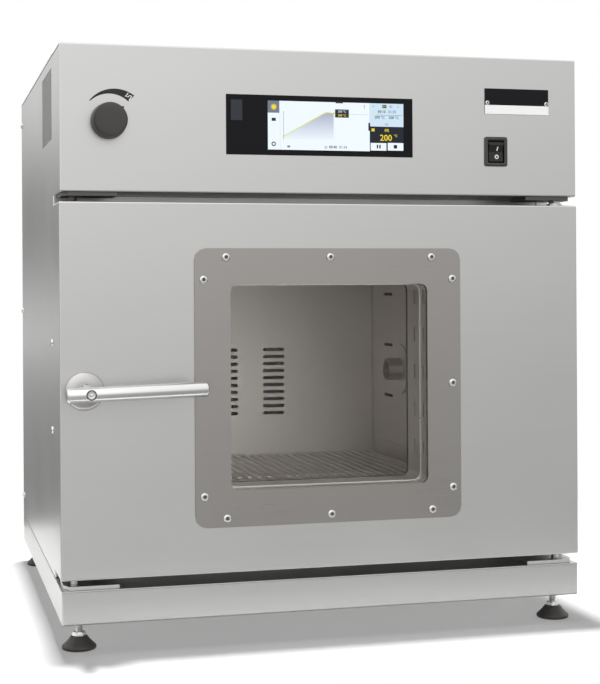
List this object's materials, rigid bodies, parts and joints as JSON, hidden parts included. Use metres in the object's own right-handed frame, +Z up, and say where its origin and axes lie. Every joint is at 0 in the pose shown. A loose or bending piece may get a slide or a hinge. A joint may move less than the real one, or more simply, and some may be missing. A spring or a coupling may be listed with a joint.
{
  "type": "drying oven",
  "caption": "Bench drying oven: stainless double-walled case, side-hinged glazed door with lever handle, wire shelf, touch display, vent knob, rocker switch and levelling feet.",
  "frame": {"origin": "on the bench under the middle of the whole object's bounding box, handle and exhaust tube included", "axes": "+Z up, the door and display face -Y, +X to the right as seen from the front"},
  "size_m": [0.61, 0.668, 0.665],
  "materials": {
    "case_steel": "brushed stainless sheet",
    "window_steel": "brushed stainless sheet, darker",
    "liner_steel": "matt stainless sheet, warmed by use",
    "bright_steel": "polished stainless bar and wire",
    "dark_steel": "satin steel",
    "galvanised": "galvanised sheet",
    "motor_grey": "cast and painted",
    "wool": "mineral wool",
    "silicone": "silicone rubber",
    "clear_glass": "clear toughened pane",
    "black_glass": "black-printed display glass",
    "black_plastic": "fine grained",
    "grey_plastic": "fine grained",
    "board_green": "circuit board",
    "foot_rubber": "moulded rubber on a plated stud"
  },
  "bodies": {
    "case": {"access_port_tube": "liner_steel", "air_baffle": "liner_steel", "chamber_insulation": "wool", "chamber_liner": "liner_steel", "control_bay_floor": "galvanised", "control_fascia": "case_steel", "controller_housing": "black_plastic", "display_glass": "black_glass", "exhaust_duct": "galvanised", "fan_motor": "motor_grey", "floor_panel": "case_steel", "front_frame": "case_steel", "heating_element": "dark_steel", "hinge_plate_lower": "case_steel", "hinge_plate_upper": "case_steel", "latch_strike": "dark_steel", "left_side_panel": "case_steel", "mains_inlet": "black_plastic", "name_plate": "black_plastic", "plinth": "case_steel", "power_board": "board_green", "rear_panel": "case_steel", "right_side_panel": "case_steel", "shelf_rail_left": "liner_steel", "shelf_rail_right": "liner_steel", "spare_hinge_plate_lower": "case_steel", "spare_hinge_plate_upper": "case_steel", "switch_housing": "black_plastic", "temperature_sensor": "bright_steel", "top_cover": "case_steel"},
    "door": {"door_gasket": "silicone", "door_inner_pan": "case_steel", "door_insulation": "wool", "door_outer_panel": "case_steel", "glazing_seal": "bright_steel", "handle_rosette": "bright_steel", "hinge_bush_lower": "bright_steel", "hinge_bush_upper": "bright_steel", "inner_glass": "clear_glass", "outer_glass": "clear_glass", "window_frame": "window_steel", "window_spacer_front": "window_steel", "window_spacer_rear": "window_steel"},
    "handle": {"handle_lever": "bright_steel", "handle_screw": "dark_steel", "handle_spindle": "bright_steel", "latch_tongue": "dark_steel"},
    "vent": {"vent_knob": "grey_plastic", "vent_shaft": "bright_steel", "exhaust_flap": "galvanised"},
    "rocker": {"power_rocker": "black_plastic"},
    "socket_cover": {"usb_cover": "grey_plastic"},
    "fan": {"fan_wheel": "galvanised", "fan_shaft": "bright_steel"},
    "shelf": {"wire_shelf": "bright_steel"},
    "port_plug": {"access_port_plug": "silicone"},
    "front_left_foot": {"foot_front_left": "foot_rubber"},
    "front_right_foot": {"foot_front_right": "foot_rubber"},
    "back_left_foot": {"foot_back_left": "foot_rubber"},
    "back_right_foot": {"foot_back_right": "foot_rubber"}
  },
  "joints": [
    {"name": "door_hinge", "type": "hinge", "parent": "case", "child": "door", "pos_m": [0.2875, -0.242, 0.286], "axis": [0, 0, 1], "range_deg": [0, 150]},
    {"name": "handle_turn", "type": "hinge", "parent": "door", "child": "handle", "pos_m": [-0.2785, -0.266, 0.286], "axis": [0, -1, 0], "range_deg": [0, 90]},
    {"name": "vent_knob_turn", "type": "hinge", "parent": "case", "child": "vent", "pos_m": [-0.2505, -0.2663, 0.5805], "axis": [0, -1, 0], "range_deg": [0, 90]},
    {"name": "power_rocker_tilt", "type": "hinge", "parent": "case", "child": "rocker", "pos_m": [0.2025, -0.2623, 0.5548], "axis": [-1, 0, 0], "range_deg": [0, 14]},
    {"name": "socket_cover_hinge", "type": "hinge", "parent": "case", "child": "socket_cover", "pos_m": [-0.1146, -0.2669, 0.596], "axis": [0, 0, -1], "range_deg": [0, 100]},
    {"name": "fan_spin", "type": "hinge", "parent": "case", "child": "fan", "pos_m": [0, 0.169, 0.265], "axis": [0, 1, 0], "continuous": true},
    {"name": "shelf_slide", "type": "slide", "parent": "case", "child": "shelf", "axis": [0, -1, 0], "range_m": [0, 0.018]},
    {"name": "port_plug_pull", "type": "slide", "parent": "case", "child": "port_plug", "axis": [1, 0, 0], "range_m": [0, 0.045]},
    {"name": "front_left_foot_turn", "type": "hinge", "parent": "case", "child": "front_left_foot", "pos_m": [-0.283, -0.24, 0], "axis": [0, 0, 1], "continuous": true},
    {"name": "front_right_foot_turn", "type": "hinge", "parent": "case", "child": "front_right_foot", "pos_m": [0.283, -0.24, 0], "axis": [0, 0, 1], "continuous": true},
    {"name": "back_left_foot_turn", "type": "hinge", "parent": "case", "child": "back_left_foot", "pos_m": [-0.283, 0.27, 0], "axis": [0, 0, 1], "continuous": true},
    {"name": "back_right_foot_turn", "type": "hinge", "parent": "case", "child": "back_right_foot", "pos_m": [0.283, 0.27, 0], "axis": [0, 0, 1], "continuous": true}
  ]
}
